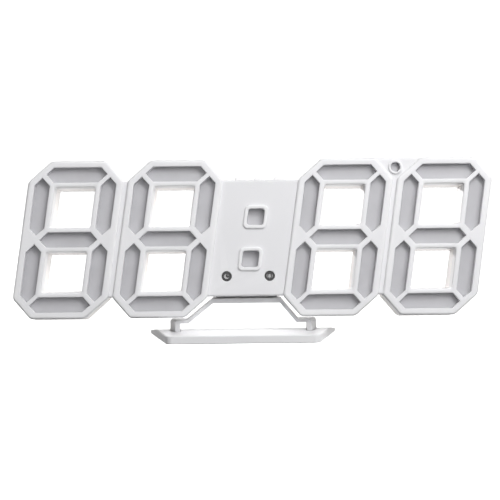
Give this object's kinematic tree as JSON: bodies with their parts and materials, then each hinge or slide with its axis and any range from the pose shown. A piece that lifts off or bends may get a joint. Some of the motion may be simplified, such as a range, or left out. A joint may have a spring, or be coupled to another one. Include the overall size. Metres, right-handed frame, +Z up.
{
  "type": "led wall clock",
  "caption": "Slanted LED digit clock with see-through segment digits, a colon block, top push buttons and a folding hat-shaped foot.",
  "frame": {"origin": "centre of the object's footprint box on the surface it stands on", "axes": "+X to the right along the row of digits, +Y to the back (the digits face -Y), +Z up"},
  "size_m": [0.2174, 0.042, 0.0817],
  "materials": {
    "white_plastic": "satin moulded white",
    "back_plastic": "satin moulded warm white",
    "stand_plastic": "satin moulded white",
    "button_plastic": "satin moulded white",
    "diffuser_plastic": "milky translucent",
    "lamp_board": "white lacquered board",
    "circuit_board": "green lacquered board",
    "indicator_lens": "smoked gloss",
    "black_plastic": "black moulded",
    "pad_rubber": "matt foam rubber",
    "steel": "plated"
  },
  "bodies": {
    "case": {"front_shell": "white_plastic", "rear_shell": "back_plastic", "rear_digit_1": "back_plastic", "rear_digit_2": "back_plastic", "rear_digit_3": "back_plastic", "rear_digit_4": "back_plastic", "digit_diffuser_1": "diffuser_plastic", "digit_diffuser_2": "diffuser_plastic", "digit_diffuser_3": "diffuser_plastic", "digit_diffuser_4": "diffuser_plastic", "reflector_1": "white_plastic", "reflector_2": "white_plastic", "reflector_3": "white_plastic", "reflector_4": "white_plastic", "led_board_1": "lamp_board", "led_board_2": "lamp_board", "led_board_3": "lamp_board", "led_board_4": "lamp_board", "colon_diffuser": "diffuser_plastic", "degree_lens": "diffuser_plastic", "indicator_left": "indicator_lens", "indicator_right": "indicator_lens", "main_board": "circuit_board", "buzzer": "black_plastic", "switch_left": "black_plastic", "switch_middle": "black_plastic", "switch_right": "black_plastic", "coin_holder": "black_plastic", "coin_cell": "steel", "power_socket": "steel", "case_screw_1": "steel", "case_screw_2": "steel", "case_screw_3": "steel", "case_screw_4": "steel", "hinge_pin": "steel"},
    "stand": {"stand_bracket": "stand_plastic", "foot_plate": "stand_plastic", "foot_pad_1": "pad_rubber", "foot_pad_2": "pad_rubber", "foot_pad_3": "pad_rubber", "foot_pad_4": "pad_rubber"},
    "left_button": {"button_left": "button_plastic"},
    "middle_button": {"button_middle": "button_plastic"},
    "right_button": {"button_right": "button_plastic"},
    "cover": {"battery_cover": "back_plastic"}
  },
  "joints": [
    {"name": "stand_fold", "type": "hinge", "parent": "case", "child": "stand", "pos_m": [-0.00325, 0.0017, 0.02195], "axis": [1, 0, 0], "range_deg": [0, 90]},
    {"name": "left_button_press", "type": "slide", "parent": "case", "child": "left_button", "axis": [0, -0.1045, -0.9945], "range_m": [0, 0.0006], "stiffness_N_per_m": 1500, "springref_m": -0.0004},
    {"name": "middle_button_press", "type": "slide", "parent": "case", "child": "middle_button", "axis": [0, -0.1045, -0.9945], "range_m": [0, 0.0006], "stiffness_N_per_m": 1500, "springref_m": -0.0004},
    {"name": "right_button_press", "type": "slide", "parent": "case", "child": "right_button", "axis": [0, -0.1045, -0.9945], "range_m": [0, 0.0006], "stiffness_N_per_m": 1500, "springref_m": -0.0004},
    {"name": "cover_turn", "type": "hinge", "parent": "case", "child": "cover", "pos_m": [0.00021, 0.00558, 0.04638], "axis": [0, 0.9945, -0.1045], "range_deg": [0, 40]}
  ]
}
